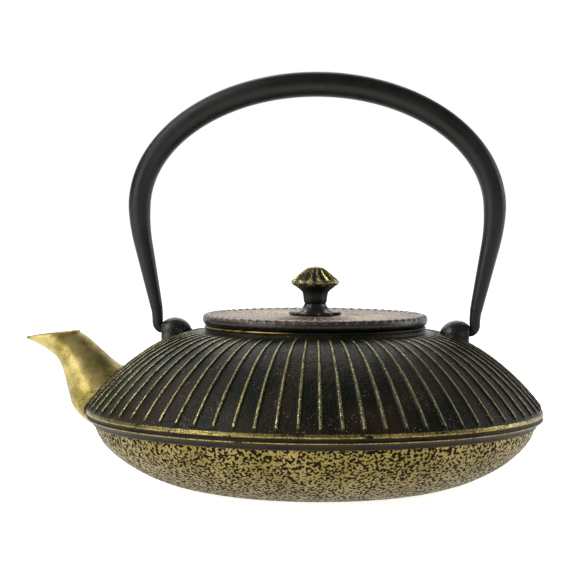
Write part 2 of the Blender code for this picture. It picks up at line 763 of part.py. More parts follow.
def main():
    for obj in list(bpy.data.objects):
        bpy.data.objects.remove(obj)
    parts = make_collection("teapot")
    cutters = make_collection("cutters")
    cutters.hide_render = True

    iron = make_material("painted_iron", (0.035, 0.036, 0.030), 0.5, 0.3)
    lid_iron = make_material("lid_iron", (0.045, 0.042, 0.034), 0.5, 0.3)
    gilt = make_material("gilt_iron", (0.22, 0.17, 0.07), 0.45, 0.6)
    satin = make_material("satin_black", (0.02, 0.02, 0.018), 0.4, 0.2)
    steel = make_material("stainless_steel", (0.55, 0.55, 0.54), 0.3, 1.0)
    mesh_steel = make_material("steel_mesh", (0.45, 0.45, 0.44), 0.45, 1.0)

    make_vessel(parts, cutters, iron)

    lid_lift = axis_empty("lid_lift", SEAT_Z, parts)
    lid_pieces = [
        make_lid(parts, cutters, lid_iron),
        make_knob_seat(parts, lid_iron),
        make_knob(parts, cutters, gilt),
        make_knob_washer(parts, steel),
        make_knob_screw(parts, steel),
    ]
    hang_on(lid_lift, lid_pieces)

    infuser_lift = axis_empty("infuser_lift", FLANGE_Z, parts)
    infuser_pieces = [
        make_infuser_rim(parts, steel),
        make_infuser_wall(parts, mesh_steel),
        make_infuser_base(parts, mesh_steel),
        make_infuser_hoop(parts, steel),
    ]
    hang_on(infuser_lift, infuser_pieces)

    bail_hinge = axis_empty("bail_hinge", hinge_z(), parts)
    bail_pieces = [make_handle_tube(parts, cutters, satin)]
    for side in (-1, 1):
        bail_pieces.append(make_handle_pin(side, parts, cutters, satin))
    hang_on(bail_hinge, bail_pieces)


main()
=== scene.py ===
import math

import bmesh
import bpy
import numpy as np
from mathutils import Matrix, Vector


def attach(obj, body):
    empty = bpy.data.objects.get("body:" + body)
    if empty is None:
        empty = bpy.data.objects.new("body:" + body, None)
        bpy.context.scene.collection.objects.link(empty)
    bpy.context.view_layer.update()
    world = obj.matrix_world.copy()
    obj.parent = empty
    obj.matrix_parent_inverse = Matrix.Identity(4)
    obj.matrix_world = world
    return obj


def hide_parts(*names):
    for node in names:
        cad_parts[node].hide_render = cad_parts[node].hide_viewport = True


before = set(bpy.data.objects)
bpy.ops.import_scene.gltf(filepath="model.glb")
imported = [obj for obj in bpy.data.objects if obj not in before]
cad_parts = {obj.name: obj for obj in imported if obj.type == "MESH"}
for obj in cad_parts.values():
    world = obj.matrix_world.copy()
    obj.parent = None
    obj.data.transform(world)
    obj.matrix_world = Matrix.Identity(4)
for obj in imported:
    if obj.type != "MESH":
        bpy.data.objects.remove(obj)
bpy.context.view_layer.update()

MM = 0.001

# Sizes in millimetres, as in the solids
RIM_RADIUS = 100.2
RIM_HEIGHT = 33.8
RIM_BAND = 6.4
NECK_RADIUS = 48.6
NECK_BASE = 67.9
NECK_TOP = 70.5
SHOULDER_POWERS = (1.85, 1.05)
BOWL_POWERS = (1.8, 1.6)
FOOT_RADIUS = 46.0
BOWL_STEP = 3.8
WALL = 3.5
THROAT_RADIUS = 39.5
LEDGE_RADIUS = 43.1
LEDGE_Z = 66.6
LUG_X = NECK_RADIUS + 13.6
LUG_SIZES = (8.2, 8.0, 8.8)
LUG_SINK = 0.5
FACE_X = LUG_X + 5.4
HINGE_RISE = 3.5
PIN_RADIUS = 2.15
PIN_REACH = 8.2
PIN_GAP = 0.3
LEG_X = FACE_X + PIN_GAP + PIN_RADIUS
PIN_ELBOW = 2.8
PIN_UPRIGHT = 1.5
KNEE_RADIUS = 30.0
HAUNCH_RADIUS = 76.0
BAIL_LEAN = math.radians(12)
BAIL_SPREAD = 8.2
BAIL_CROWN = 176.3
TUBE_END_BEND = math.radians(9)
TUBE_WALL = 0.9
TUBE_RADII = (2.65, 4.85, 5.5)
LID_SEAT = 70.8
LID_TOP = 74.8
LID_EDGE = 49.5
LID_BEAD = 2.35
SEAT_LOW, SEAT_HIGH = 75.1, 80.1
STEM_SIDES = 8
KNOB_RIM = 89.3
KNOB_TIP = 96.7

# Outline of the band round the rim, as radius and height
RIM_PROFILE = [
    (97.3, 27.75), (97.6, 28.2), (97.85, 28.7), (98.15, 29.2), (98.7, 29.65), (99.4, 30.0),
    (99.85, 30.3), (100.1, 30.55), (100.12, 30.85), (99.9, 31.1),
    (99.6, 31.35), (99.5, 31.65), (99.62, 31.95), (99.9, 32.25), (100.18, 32.5), (100.33, 32.85),
    (100.36, 33.2), (100.3, 33.55), (100.15, 33.9), (99.92, 34.25),
]

# Front, back and half width of the spout, from its lip down to its root. The points are
# measured outward and up from the edge of the rim.
SPOUT_STATIONS = (
    ((29.1, 29.5), (4.7, 32.6), 7.5),
    ((20.9, 25.6), (1.4, 30.4), 8.3),
    ((14.6, 20.6), (-2.4, 27.2), 9.5),
    ((11.8, 14.2), (-6.5, 23.6), 11.2),
    ((9.8, 6.7), (-11.6, 19.4), 13.2),
    ((7.2, -1.2), (-19.4, 15.0), 15.0),
    ((-0.3, -8.0), (-27.8, 10.4), 16.0),
    ((-12.2, -12.3), (-34.2, 5.2), 15.5),
)
SPOUT_WALL = 2.4
SPOUT_SIDES = 72
RINGS_A_STATION = 10
LIP_HEIGHT = 0.85
PASSAGE_STATIONS = 6
PASSAGE_END = ((-7.2, -2.8), (-24.2, 10.2), 11.0)

# The pattern of the casting
RIBS = 71
RIB_PHASE = math.radians(-84.1)
RIB_COLUMNS = (
    0, 0.03, 0.06, 0.09, 0.12, 0.15, 0.2, 0.34, 0.5, 0.66, 0.8, 0.85, 0.88, 0.91, 0.94, 0.97,
)
LID_RIBS = 70
LID_RIB_PHASE = math.radians(-85.3)
LID_RIB_COLUMNS = (0, 0.07, 0.14, 0.21, 0.28, 0.38, 0.5, 0.62, 0.72, 0.79, 0.86, 0.93)
KNOB_FLUTES = 14
KNOB_PHASE = math.radians(-86.3) + math.pi / KNOB_FLUTES
STEM_PHASE = math.radians(-14.3)
LUMP_WAVES = 14

# The vessel's materials, by their place in its list
SHOULDER, BAND, BOWL, INSIDE, SPOUT, LUG = range(6)

# The camera, in metres and radians, with its lens and sensor in millimetres
CAMERA_AZIMUTH = math.radians(4.5)
CAMERA_DISTANCE = 0.860
CAMERA_HEIGHT = 0.1286
CAMERA_PITCH = math.radians(2.69)
CAMERA_PAN = math.radians(0.88728)
CAMERA_ROLL = math.radians(0.3)
CAMERA_LENS = 123.5368
SENSOR_WIDTH = 36

# Name, place, width and height in metres, and power in watts, of each light
LIGHTS = (
    ("key", (-0.9, -0.25, 1.05), (0.6, 0.6), 8.0),
    ("back", (-0.3, 1.0, 0.9), (1.2, 0.8), 6.0),
    ("side", (-1.15, -0.95, 0.28), (0.9, 0.8), 10.0),
    ("fill", (0.9, -0.9, 0.8), (0.6, 0.6), 1.5),
    ("edge", (1.1, 0.45, 0.4), (0.4, 0.6), 4.0),
)
LIGHT_AIM = (0, 0, 0.06)

# The floor, in metres, and how bright it and the room are
FLOOR_REACH = 6.0
FLOOR_GLOW = 0.9
AMBIENT = 0.22


# ---------------------------------------------------------------- meshes


def linked(name, data):
    """An object with this data, in the scene."""
    obj = bpy.data.objects.new(name, data)
    bpy.context.scene.collection.objects.link(obj)
    return obj


def lathe(name, rings, row_slots=None, closed=False):
    """A mesh through rings of points in millimetres. A ring on the axis closes with a fan."""
    rings = np.asarray(rings, float)
    rows, cols = rings.shape[:2]
    row_slots = [0] * rows if row_slots is None else row_slots
    flat = np.ptp(rings, axis=1).max(axis=1) < 1e-9
    first, last = int(flat[0]), int(flat[-1])
    inner = rings[first: rows - last]
    verts = inner.reshape(-1, 3).tolist()
    count = len(inner)
    here = np.arange(cols)
    ahead = (here + 1) % cols
    faces, slots = [], []
    for i in range(count if closed else count - 1):
        a, b = i * cols, (i + 1) % count * cols
        faces += np.stack([a + here, a + ahead, b + ahead, b + here], axis=1).tolist()
        slots += [row_slots[i + first]] * cols
    if first:
        faces += [(len(verts), b, a) for a, b in zip(here.tolist(), ahead.tolist())]
        verts.append(rings[0, 0].tolist())
        slots += [row_slots[0]] * cols
    if last:
        base = (count - 1) * cols
        faces += [(base + a, base + b, len(verts)) for a, b in zip(here.tolist(), ahead.tolist())]
        verts.append(rings[-1, 0].tolist())
        slots += [row_slots[-1]] * cols
    mesh = bpy.data.meshes.new(name)
    mesh.from_pydata([(x * MM, y * MM, z * MM) for x, y, z in verts], [], faces)
    mesh.polygons.foreach_set("material_index", slots)
    mesh.update()
    return linked(name, mesh)


def spun(profile, angles, height=None):
    """Rings of a profile of (radius, z) about the axis, with an outward relief in millimetres."""
    profile = np.asarray(profile, float)
    angles = np.asarray(angles, float)
    radius = profile[:, :1] + np.zeros((1, len(angles)))
    z = profile[:, 1:] + np.zeros((1, len(angles)))
    if height is not None:
        along = np.gradient(profile, axis=0)
        size = np.maximum(np.hypot(along[:, 0], along[:, 1]), 1e-9)
        out_r = (along[:, 1] / size)[:, None]
        out_z = (-along[:, 0] / size)[:, None]
        radius = radius + out_r * height
        z = z + out_z * height
        radius[profile[:, 0] == 0] = 0
    x = radius * np.cos(angles)[None, :]
    y = radius * np.sin(angles)[None, :]
    return np.stack([x, y, z], axis=2)


def even(outline, spacing):
    """Points along an outline at an even spacing."""
    outline = np.asarray(outline, float)
    run = np.concatenate([[0], np.cumsum(np.hypot(*np.diff(outline, axis=0).T))])
    count = max(int(round(run[-1] / spacing)), 1)
    at = np.linspace(0, run[-1], count + 1)
    return np.stack([np.interp(at, run, outline[:, i]) for i in (0, 1)], axis=1)


def circle(count):
    return np.arange(count) / count * 2 * math.pi


def arc(centre, radius, first, last, points):
    turns = np.radians(np.linspace(first, last, points))
    return [(centre[0] + radius * math.cos(a), centre[1] + radius * math.sin(a)) for a in turns]


def smooth(low, high, value):
    t = np.clip((np.asarray(value, float) - low) / (high - low), 0, 1)
    return t * t * (3 - 2 * t)


def from_shape(name, shape):
    """An object made of a bmesh, which is then freed."""
    mesh = bpy.data.meshes.new(name)
    shape.to_mesh(mesh)
    shape.free()
    return linked(name, mesh)


def facing_out(obj):
    shape = bmesh.new()
    shape.from_mesh(obj.data)
    bmesh.ops.recalc_face_normals(shape, faces=shape.faces)
    if shape.calc_volume(signed=True) < 0:
        bmesh.ops.reverse_faces(shape, faces=shape.faces)
    shape.to_mesh(obj.data)
    shape.free()
    return obj


def settle(obj):
    """Makes the outcome of an object's modifiers its own mesh."""
    bpy.context.view_layer.update()
    graph = bpy.context.evaluated_depsgraph_get()
    mesh = bpy.data.meshes.new_from_object(obj.evaluated_get(graph))
    obj.modifiers.clear()
    old = obj.data
    obj.data = mesh
    bpy.data.meshes.remove(old)
    mesh.name = obj.name


def combine(obj, tool, operation):
    modifier = obj.modifiers.new(tool.name, "BOOLEAN")
    modifier.operation = operation
    modifier.solver = "MANIFOLD"
    modifier.object = tool
    modifier.material_mode = "TRANSFER"
    settle(obj)
    bpy.data.objects.remove(tool)


def finish_piece(obj, body, nodes, sharp=38):
    obj.data.shade_smooth()
    obj.data.set_sharp_from_angle(angle=math.radians(sharp))
    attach(obj, body)
    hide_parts(*nodes)


def dress(obj, *materials):
    for material in materials:
        obj.data.materials.append(material)
    return obj


def dress_in(obj, materials, index):
    """Gives an object a list of materials and the same one of them to all its faces."""
    obj.data.polygons.foreach_set("material_index", [index] * len(obj.data.polygons))
    return dress(obj, *materials)


# ---------------------------------------------------------------- materials


def linear(colour):
    """Linear red, green and blue of a colour written as six hexadecimal digits."""
    parts = [int(colour[i: i + 2], 16) / 255 for i in (0, 2, 4)]
    return tuple(c / 12.92 if c <= 0.04045 else ((c + 0.055) / 1.055) ** 2.4 for c in parts)


def plug(tree, value, socket):
    """Gives a socket a link, a colour or a number."""
    if isinstance(value, bpy.types.NodeSocket):
        tree.links.new(value, socket)
    elif isinstance(value, str):
        socket.default_value = (*linear(value), 1)
    else:
        socket.default_value = value


def math_node(tree, operation, *values, clamp=False):
    node = tree.nodes.new("ShaderNodeMath")
    node.operation = operation
    node.use_clamp = clamp
    for value, socket in zip(values, node.inputs):
        plug(tree, value, socket)
    return node.outputs[0]


def step_node(tree, value, low, high, start, end):
    """A smooth step from start to end as value goes from low to high."""
    node = tree.nodes.new("ShaderNodeMapRange")
    node.interpolation_type = "SMOOTHSTEP"
    names = ("Value", "From Min", "From Max", "To Min", "To Max")
    for name, number in zip(names, (value, low, high, start, end)):
        plug(tree, number, node.inputs[name])
    return node.outputs["Result"]


class Nodes:
    """A small builder of a material's nodes. Places are in millimetres."""

    def __init__(self, name):
        self.material = bpy.data.materials.new(name)
        self.material.use_nodes = True
        self.tree = self.material.node_tree
        self.shader = self.tree.nodes["Principled BSDF"]
        scaled = self.tree.nodes.new("ShaderNodeVectorMath")
        scaled.operation = "SCALE"
        scaled.inputs["Scale"].default_value = 1 / MM
        coords = self.tree.nodes.new("ShaderNodeTexCoord").outputs["Object"]
        self.tree.links.new(coords, scaled.inputs[0])
        self.place = scaled.outputs[0]
        split = self.tree.nodes.new("ShaderNodeSeparateXYZ")
        self.tree.links.new(self.place, split.inputs[0])
        self.x, self.y, self.z = split.outputs
        self._radius = None

    def join(self, value, socket):
        plug(self.tree, value, socket)

    def math(self, operation, a, b=0.0, c=0.0, clamp=False):
        return math_node(self.tree, operation, a, b, c, clamp=clamp)

    def add(self, a, b):
        return self.math("ADD", a, b)

    def sub(self, a, b):
        return self.math("SUBTRACT", a, b)

    def mul(self, a, b):
        return self.math("MULTIPLY", a, b)

    def radius(self):
        if self._radius is None:
            squares = self.mul(self.x, self.x), self.mul(self.y, self.y)
            self._radius = self.math("SQRT", self.add(*squares))
        return self._radius

    def step(self, value, low, high, start=0.0, end=1.0):
        return step_node(self.tree, value, low, high, start, end)

    def band(self, value, low, high, soft):
        """One between low and high, zero outside."""
        inside = self.step(value, low - soft, low + soft)
        return self.mul(inside, self.step(value, high - soft, high + soft, 1.0, 0.0))

    def noise(self, size, detail=2.0, rough=0.5, distortion=0.0, squash=(1, 1, 1), shift=0.0):
        """Noise with features of about a size in millimetres."""
        node = self.tree.nodes.new("ShaderNodeTexNoise")
        node.inputs["Scale"].default_value = 1 / size
        node.inputs["Detail"].default_value = detail
        node.inputs["Roughness"].default_value = rough
        node.inputs["Distortion"].default_value = distortion
        place = self.place
        if squash != (1, 1, 1) or shift:
            moved = self.tree.nodes.new("ShaderNodeVectorMath")
            moved.operation = "MULTIPLY_ADD"
            moved.inputs[1].default_value = squash
            moved.inputs[2].default_value = (shift,) * 3
            self.tree.links.new(place, moved.inputs[0])
            place = moved.outputs[0]
        self.tree.links.new(place, node.inputs["Vector"])
        return node.outputs["Fac"]

    def ragged(self, value, amount, *noise):
        """A value made uneven by noise, by up to half the amount either way."""
        return self.add(value, self.mul(self.sub(self.noise(*noise), 0.5), amount))

    def cells(self, size):
        """Distance from the nearest of scattered points, as a share of their spacing."""
        node = self.tree.nodes.new("ShaderNodeTexVoronoi")
        node.inputs["Scale"].default_value = 1 / size
        self.tree.links.new(self.place, node.inputs["Vector"])
        return node.outputs["Distance"]

    def mix(self, factor, a, b):
        node = self.tree.nodes.new("ShaderNodeMix")
        node.data_type = "RGBA"
        self.join(factor, node.inputs["Factor"])
        self.join(a, node.inputs[6])
        self.join(b, node.inputs[7])
        return node.outputs[2]

    def blend(self, factor, a, b):
        node = self.tree.nodes.new("ShaderNodeMix")
        self.join(factor, node.inputs["Factor"])
        self.join(a, node.inputs[2])
        self.join(b, node.inputs[3])
        return node.outputs[0]

    def spoke(self, count, phase):
        """Distance in millimetres from the nearest of so many spokes."""
        turn = self.math("ARCTAN2", self.y, self.x)
        each = count / (2 * math.pi)
        along = self.math("MULTIPLY_ADD", turn, each, 0.5 - phase * each)
        part = self.math("ABSOLUTE", self.sub(self.math("FRACT", along), 0.5))
        return self.mul(self.mul(part, self.radius()), 1 / each)

    def bump(self, height, depth, strength=1.0, normal=None):
        node = self.tree.nodes.new("ShaderNodeBump")
        node.inputs["Strength"].default_value = strength
        node.inputs["Distance"].default_value = depth * MM
        self.join(height, node.inputs["Height"])
        if normal is not None:
            self.tree.links.new(normal, node.inputs["Normal"])
        return node.outputs[0]

    def finish(self, colour, roughness, metallic=0.0, normal=None, specular=0.5):
        self.join(colour, self.shader.inputs["Base Color"])
        self.join(roughness, self.shader.inputs["Roughness"])
        self.join(metallic, self.shader.inputs["Metallic"])
        self.shader.inputs["Specular IOR Level"].default_value = specular
        if normal is not None:
            self.tree.links.new(normal, self.shader.inputs["Normal"])
        return self.material


def iron_ground(n, warm="2a2217", cool="10150c"):
    """Painted iron with a fine stipple and sparse painted glints: its colour, its roughness and the
    height of its grain.
    """
    large = n.noise(22, 3)
    colour = n.mix(n.step(large, 0.35, 0.65), cool, warm)
    grain = n.noise(0.75, 3, 0.6)
    pits = n.step(n.noise(1.1, 1), 0.36, 0.5)
    height = n.add(n.mul(grain, 0.7), n.mul(pits, 0.5))
    colour = n.mix(n.step(grain, 0.6, 0.72, 0.0, 0.55), colour, "4c4a3c")
    # Sparse pale specks: painted glints of the lamps on the stipple, partly worn paint.
    glint = n.mul(n.step(n.noise(0.6, 1), 0.68, 0.72), n.step(n.noise(10, 2), 0.5, 0.62))
    colour = n.mix(n.mul(glint, 0.8), colour, "a9a996")
    return colour, n.step(grain, 0.35, 0.65, 0.4, 0.26), height


def gold_tone(n, dark="4f4a20", mid="928a48", light="ece3a6"):
    """Gold brushed on by hand: cloudy, with fine lighter specks, partly the gold's own and partly
    painted highlight.
    """
    cloud = n.noise(7, 3)
    fine = n.noise(0.6, 2, 0.6)
    colour = n.mix(n.step(cloud, 0.3, 0.6), mid, dark)
    colour = n.mix(n.step(cloud, 0.42, 0.62), dark, mid)
    # The lighter specks are partly painted highlight, standing in for the gleam of the lamps on the
    # gold.
    return n.mix(n.step(fine, 0.44, 0.62, 0.0, 0.85), colour, light)


def make_shoulder_material():
    n = Nodes("shoulder_iron")
    ground, rough, height = iron_ground(n)
    spoke = n.spoke(RIBS, RIB_PHASE)
    reach = n.mul(n.step(n.radius(), 50.5, 55.0), n.step(n.radius(), 99.3, 98.8))
    # On the right the rib crests are painted narrower and paler: painted rim light.
    right = n.step(n.x, 20.0, 75.0)
    spread = n.mul(n.step(n.radius(), 52.0, 98.0, 1.5, 1.0), n.blend(right, 1.0, 1.5))
    edge = n.ragged(n.mul(spoke, spread), 0.75, 0.7, 2)
    crest = n.mul(n.step(edge, 0.66, 0.36), reach)
    worn = n.step(n.noise(0.55, 2, 0.7), 0.36, 0.5)
    crest = n.mul(crest, n.blend(0.35, worn, 1.0))
    colour = n.mix(crest, ground, n.mix(n.mul(right, 0.6), gold_tone(n), "b7aa8c"))
    neck = n.mul(n.band(n.z, 70.05, 70.55, 0.1), n.step(n.noise(5, 2), 0.36, 0.5))
    neck = n.mul(neck, n.mul(n.step(n.x, -4.0, -16.0), n.step(n.y, 6.0, -6.0)))
    colour = n.mix(neck, colour, "b39a4c")
    gold = n.math("MAXIMUM", crest, neck)
    normal = n.bump(height, 0.26, 1.0)
    return n.finish(colour, n.blend(gold, rough, 0.3), n.mul(gold, 0.85), normal, 0.12)


def make_rim_material():
    n = Nodes("rim_band")
    brown = n.mix(n.step(n.noise(9, 3), 0.35, 0.65), "1a140b", "2e2416")
    ridge = n.band(n.ragged(n.z, 0.65, 1.6, 3, 0.6), 32.75, 34.4, 0.12)
    gaps = n.step(n.noise(5.5, 4, 0.6, squash=(1, 1, 3)), 0.36, 0.42)
    ridge = n.mul(ridge, gaps)
    line = n.band(n.z, 30.45, 30.95, 0.08)
    line = n.mul(line, n.step(n.noise(6, 3), 0.33, 0.42))
    gold = n.math("MAXIMUM", ridge, line)
    colour = n.mix(gold, brown, gold_tone(n, "5f5326", "84763f", "b8a869"))
    height = n.add(n.noise(0.9, 3, 0.6), n.mul(gold, 0.4))
    normal = n.bump(height, 0.15, 0.6)
    return n.finish(colour, n.blend(gold, 0.5, 0.36), n.mul(gold, 0.85), normal, 0.15)


def make_bowl_material():
    n = Nodes("bowl_gilt")
    pits = n.step(n.noise(1.15, 0.0, 0.5, 0.3), 0.5, 0.46)
    edge = n.ragged(n.z, 3.0, 2.2, 2)
    rim = n.step(edge, 27.9, 28.5)
    pits = n.math("MAXIMUM", pits, rim)
    gold = n.mix(n.step(n.noise(14, 3), 0.35, 0.65), "827339", "978651")
    gold = n.mix(n.step(n.noise(0.5, 2), 0.5, 0.7, 0.0, 0.5), gold, "d3c28a")
    colour = n.mix(pits, gold, n.mix(n.noise(3, 2), "191204", "2b2009"))
    normal = n.bump(n.math("MULTIPLY", pits, -1.0), 0.4, 1.0)
    normal = n.bump(n.noise(3.2, 2), 0.25, 0.5, normal)
    return n.finish(colour, n.blend(pits, 0.42, 0.75), n.blend(pits, 0.8, 0.0), normal, 0.1)


def make_spout_material():
    n = Nodes("spout_gilt")
    cloud = n.noise(9, 4, 0.55)
    gold = n.mix(n.step(cloud, 0.36, 0.62), "8a7b3a", "c6b373")
    gold = n.mix(n.step(n.noise(0.45, 2), 0.5, 0.72, 0.0, 0.35), gold, "dccb8c")
    specks = n.mul(n.step(n.noise(0.8, 2, 0.6), 0.6, 0.68), n.step(n.noise(6, 2), 0.48, 0.6))
    # The seam with the shoulder is ragged and black, and old gold darkens near it.
    rise = n.math("DIVIDE", n.sub(n.z, RIM_HEIGHT), NECK_BASE - RIM_HEIGHT, clamp=True)
    across, down = SHOULDER_POWERS
    share = n.math("POWER", n.sub(1.0, n.math("POWER", rise, down)), 1 / across)
    surface = n.math("MULTIPLY_ADD", share, RIM_RADIUS - NECK_RADIUS, NECK_RADIUS)
    gap = n.mul(n.sub(n.radius(), surface), 0.75)
    above = n.step(n.z, 29.0, 32.5)
    seam = n.mul(n.step(n.ragged(gap, 2.0, 1.5, 3, 0.6), 1.35, 0.95), above)
    patches = n.step(n.noise(0.9, 2, 0.6, shift=9.0), 0.56, 0.62)
    near = n.mul(n.step(gap, 6.5, 1.5), patches)
    specks = n.math("MAXIMUM", specks, n.mul(near, above))
    dark = n.math("MAXIMUM", n.mul(specks, 0.8), seam)
    colour = n.mix(dark, gold, "2b200c")
    normal = n.bump(n.add(n.noise(0.8, 3, 0.6), n.mul(dark, -0.5)), 0.12, 0.55)
    return n.finish(colour, n.blend(dark, 0.44, 0.7), n.blend(dark, 0.8, 0.05), normal, 0.25)


def make_lug_material():
    n = Nodes("lug_iron")
    ground, rough, height = iron_ground(n, "24211d", "141715")
    out = n.math("ABSOLUTE", n.x)
    face = n.step(n.ragged(out, 1.2, 1.2, 2), FACE_X - 0.9, FACE_X - 0.3)
    # Gold round the edge of the flat face, on the left lug only.
    face_edge_gold = n.mul(face, n.step(n.noise(2.5, 3), 0.46, 0.58))
    face_edge_gold = n.mul(face_edge_gold, n.step(n.x, 10.0, -10.0))
    colour = n.mix(face_edge_gold, ground, "a8924c")
    normal = n.bump(height, 0.16, 0.6)
    return n.finish(colour, n.blend(face_edge_gold, rough, 0.36), n.mul(face_edge_gold, 0.8), normal, 0.4)


def make_lid_material():
    n = Nodes("lid_iron")
    ground, rough, height = iron_ground(n, "4a382b", "30251d")
    spoke = n.spoke(LID_RIBS, LID_RIB_PHASE)
    plate = n.mul(n.step(n.radius(), 49.5, 49.2), n.step(n.z, 73.6, 74.1))
    edge = n.ragged(spoke, 0.6, 0.6, 2)
    crest = n.mul(n.step(edge, 0.75, 0.3), plate)
    crest = n.mul(crest, n.step(n.noise(0.6, 2, 0.6), 0.35, 0.55))
    # The rib crests are painted pale: partly worn iron, partly painted highlight.
    colour = n.mix(n.mul(crest, n.step(n.radius(), 46.5, 48.5, 0.8, 0.3)), ground, "c6ae8e")
    # Below the top of the rolled edge the lid is painted near-black: painted shade on the underside
    # of the bead.
    colour = n.mix(n.step(n.add(n.z, n.mul(n.noise(1.5, 2), 0.4)), 74.2, 73.8), colour, "151613")
    normal = n.bump(height, 0.16, 0.7)
    return n.finish(colour, n.blend(crest, rough, 0.34), n.mul(crest, 0.5), normal, 0.45)


def make_knob_material():
    n = Nodes("knob_gilt")
    ground, rough, height = iron_ground(n, "171916", "0f110e")
    ground = n.mix(n.step(n.z, KNOB_RIM - 0.4, KNOB_RIM + 0.8), ground, "35282a")
    spoke = n.spoke(KNOB_FLUTES, KNOB_PHASE)
    share = n.math("DIVIDE", spoke, n.add(n.radius(), 0.5))
    broad = n.step(n.radius(), 6.5, 10.0, 0.0, 0.05)
    ridge = n.step(n.sub(n.ragged(share, 0.05, 0.8, 2), broad), 0.085, 0.045)
    ridge = n.math("MAXIMUM", ridge, n.step(n.radius(), 3.6, 2.4))
    cone = n.step(n.z, KNOB_RIM - 0.4, KNOB_RIM + 0.5)
    rim = n.band(n.z, KNOB_RIM - 1.3, KNOB_RIM + 0.9, 0.3)
    rim = n.mul(rim, n.step(n.noise(1.6, 2), 0.42, 0.58))
    gold = n.math("MAXIMUM", n.mul(ridge, cone), n.mul(rim, 0.7))
    gold = n.mul(gold, n.blend(0.5, n.step(n.noise(0.7, 2), 0.34, 0.5), 1.0))
    colour = n.mix(gold, ground, gold_tone(n, "625c22", "a39a45", "e4dc98"))
    normal = n.bump(height, 0.1, 0.5)
    return n.finish(colour, n.blend(gold, rough, 0.34), n.mul(gold, 0.85), normal, 0.4)


def make_seat_material():
    n = Nodes("seat_iron")
    ground, rough, height = iron_ground(n, "26241f", "151815")
    return n.finish(ground, rough, 0.0, n.bump(height, 0.12, 0.6), 0.4)


def make_bail_material():
    n = Nodes("bail_satin")
    cloud = n.noise(16, 4, 0.6)
    colour = n.mix(n.step(cloud, 0.35, 0.65), "151411", "211f1b")
    fine = n.noise(0.35, 3, 0.6)
    worn = n.mul(n.step(n.noise(1.2, 3, 0.7), 0.68, 0.74), n.step(n.noise(20, 2), 0.52, 0.6))
    colour = n.mix(n.mul(worn, 0.6), colour, "5a564c")
    rough = n.add(n.step(cloud, 0.3, 0.7, 0.36, 0.46), n.mul(fine, 0.06))
    normal = n.bump(n.add(fine, n.mul(n.noise(4, 2), 1.5)), 0.05, 0.5)
    return n.finish(colour, rough, 0.0, normal, 0.28)


def make_steel(name, colour, rough):
    n = Nodes(name)
    lines = n.noise(0.5, 3, 0.6, squash=(1, 1, 12))
    tone = n.mix(n.step(lines, 0.3, 0.7), colour, "d6d5d0")
    grade = n.step(n.noise(8, 3), 0.3, 0.7, rough - 0.05, rough + 0.08)
    return n.finish(tone, grade, 1.0, n.bump(lines, 0.02, 0.4))


def make_enamel():
    n = Nodes("enamel_inside")
    colour = n.mix(n.step(n.noise(12, 3), 0.35, 0.65), "0d0d0d", "191a1b")
    specks = n.step(n.cells(2.4), 0.14, 0.08)
    colour = n.mix(n.mul(specks, 0.25), colour, "6c6c6a")
    rough = n.step(n.noise(5, 2), 0.3, 0.7, 0.16, 0.26)
    return n.finish(colour, rough, 0.0, n.bump(n.noise(5, 2), 0.2, 0.4))


# ---------------------------------------------------------------- vessel


def shoulder_z(radius):
    across = (np.asarray(radius, float) - NECK_RADIUS) / (RIM_RADIUS - NECK_RADIUS)
    outward, down = SHOULDER_POWERS
    drop = np.clip(1 - np.clip(across, 0, 1) ** outward, 0, 1) ** (1 / down)
    return RIM_HEIGHT + (NECK_BASE - RIM_HEIGHT) * drop


def hinge_z():
    return float(shoulder_z(LUG_X)) - LUG_SINK + HINGE_RISE


def bowl_outline():
    """The lower bowl, from the foot up to the band."""
    turn = np.linspace(math.pi / 2, 0, 120)
    outward, up = BOWL_POWERS
    widening = np.clip(np.cos(turn), 0, 1) ** (2 / outward)
    radius = FOOT_RADIUS + (RIM_RADIUS - BOWL_STEP - FOOT_RADIUS) * widening
    height = (RIM_HEIGHT - RIM_BAND) * (1 - np.sin(turn) ** (2 / up))
    return np.stack([radius, height], axis=1)


def inward(outline, wall):
    """An outline that runs up the outside, moved into the material."""
    along = np.gradient(outline, axis=0)
    size = np.hypot(along[:, 0], along[:, 1])
    return outline - np.stack([along[:, 1] / size, -along[:, 0] / size], axis=1) * wall





def spoke_angles(count, phase, columns):
    turns = (np.arange(count)[:, None] + np.asarray(columns)[None, :]).reshape(-1)
    return turns / count * 2 * math.pi + phase


def ridge_height(angles, count, phase, radius, half_width, power=1.0):
    """Rounded ridges: 1 on a spoke, 0 at half_width millimetres to its side."""
    part = (angles - phase) / (2 * math.pi) * count
    part = np.abs(part - np.round(part))
    across = part[None, :] * 2 * math.pi * np.asarray(radius)[:, None] / count
    return np.clip(1 - (across / np.asarray(half_width)[:, None]) ** 2, 0, 1) ** power


def lumps(rings, size, seed):
    """A gentle unevenness of about so many millimetres across, between -1 and 1."""
    random = np.random.default_rng(seed)
    total = np.zeros(rings.shape[:2])
    for _ in range(LUMP_WAVES):
        way = random.normal(size=3)
        way /= np.linalg.norm(way)
        wave = size * random.uniform(0.7, 1.5)
        total += np.sin(rings @ way * 2 * math.pi / wave + random.uniform(0, 6.28))
    return total / LUMP_WAVES**0.5 / 1.6


def spline_value(values, place):
    """A value on the smooth curve through the values, at a place counted from the first."""
    last = len(values) - 1
    i = min(int(place), last - 1)
    t = place - i
    p0, p1, p2, p3 = (values[min(max(k, 0), last)] for k in (i - 1, i, i + 1, i + 2))
    bend = (2 * p0 - 5 * p1 + 4 * p2 - p3) * t * t + (3 * p1 - p0 - 3 * p2 + p3) * t**3
    return 0.5 * (2 * p1 + (p2 - p0) * t + bend)


def spout_point(offsets):
    return np.array([-RIM_RADIUS - offsets[0], RIM_HEIGHT + offsets[1]])


